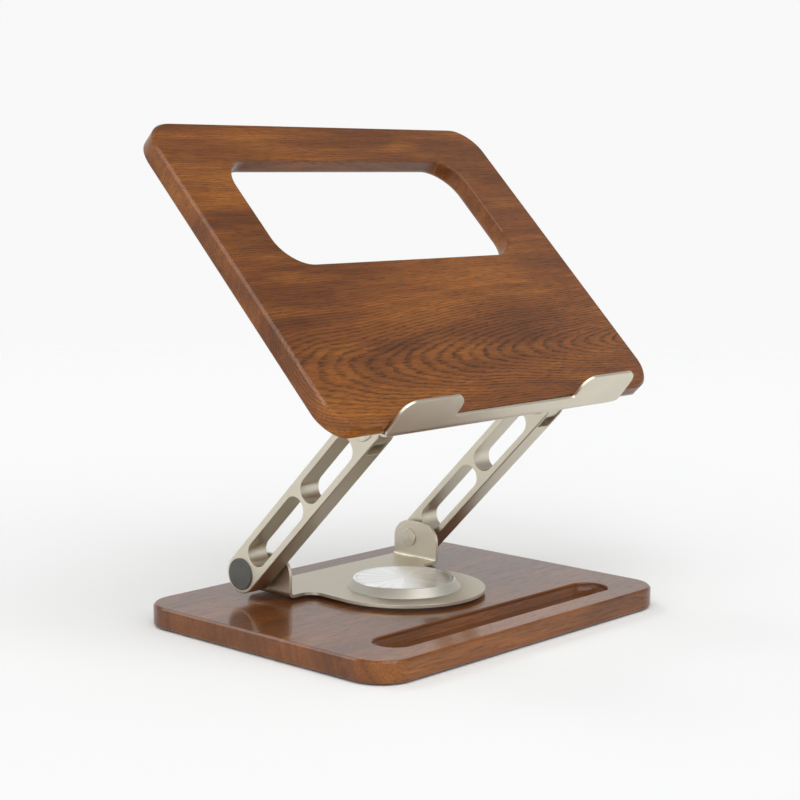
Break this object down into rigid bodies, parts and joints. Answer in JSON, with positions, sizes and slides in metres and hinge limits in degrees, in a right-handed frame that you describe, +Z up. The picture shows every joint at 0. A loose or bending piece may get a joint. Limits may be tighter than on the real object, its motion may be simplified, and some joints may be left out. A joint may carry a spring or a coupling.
{
  "type": "laptop stand",
  "caption": "Desktop laptop stand: tilting wooden tray with a cut-out and front hooks on two hinged metal arms, over a wooden base with a swivel plate and a pen groove.",
  "frame": {"origin": "centre of the base, on the table surface under the feet", "axes": "+X to the user's right, +Y away from the user, +Z up; the stand faces -Y"},
  "size_m": [0.286, 0.2, 0.2966],
  "materials": {
    "walnut": "clear satin varnish, grain across the width",
    "champagne_aluminium": "fine blasted, champagne anodised",
    "turned_aluminium": "fine turned rings, bright",
    "steel": "machined",
    "plated_steel": "turned, pale champagne plating",
    "bronze": "machined",
    "slide_plastic": "matte",
    "dark_plastic": "matte moulded",
    "rubber": "matte"
  },
  "bodies": {
    "base": {"base_board": "walnut", "foot_front_left": "rubber", "foot_front_right": "rubber", "foot_rear_left": "rubber", "foot_rear_right": "rubber", "glide_ring": "slide_plastic", "glide_ring_screws": "steel", "pivot_spindle": "steel", "spindle_washer": "steel", "spindle_nut": "steel", "spindle_spring": "steel"},
    "turntable": {"swivel_plate": "champagne_aluminium", "swivel_bush": "bronze", "cap_disc": "turned_aluminium", "lower_pin_left": "plated_steel", "friction_washer_left": "slide_plastic", "disc_spring_left": "steel", "lock_nut_left": "steel", "lower_pin_right": "plated_steel", "friction_washer_right": "slide_plastic", "disc_spring_right": "steel", "lock_nut_right": "steel"},
    "arms": {"arm_left": "champagne_aluminium", "arm_bush_left": "bronze", "pivot_cap_left": "dark_plastic", "upper_screw_left": "plated_steel", "upper_nut_left": "plated_steel", "arm_right": "champagne_aluminium", "arm_bush_right": "bronze", "pivot_cap_right": "dark_plastic", "upper_screw_right": "plated_steel", "upper_nut_right": "plated_steel"},
    "tray": {"tray_board": "walnut", "tray_bracket": "champagne_aluminium", "tray_screws": "steel", "lug_screws": "steel", "hinge_lug_left": "champagne_aluminium", "lug_bush_left": "bronze", "lug_washer_inner_left": "slide_plastic", "lug_washer_outer_left": "slide_plastic", "hinge_lug_right": "champagne_aluminium", "lug_bush_right": "bronze", "lug_washer_inner_right": "slide_plastic", "lug_washer_outer_right": "slide_plastic"}
  },
  "joints": [
    {"name": "turntable_swivel", "type": "hinge", "parent": "base", "child": "turntable", "pos_m": [0, 0.0035, 0.0168], "axis": [0, 0, 1], "continuous": true},
    {"name": "arm_pivot", "type": "hinge", "parent": "turntable", "child": "arms", "pos_m": [0, 0.0583, 0.0303], "axis": [-1, 0, 0], "range_deg": [-37, 25]},
    {"name": "tray_pivot", "type": "hinge", "parent": "arms", "child": "tray", "pos_m": [0, -0.04115, 0.12975], "axis": [1, 0, 0], "range_deg": [-70, 15]}
  ]
}
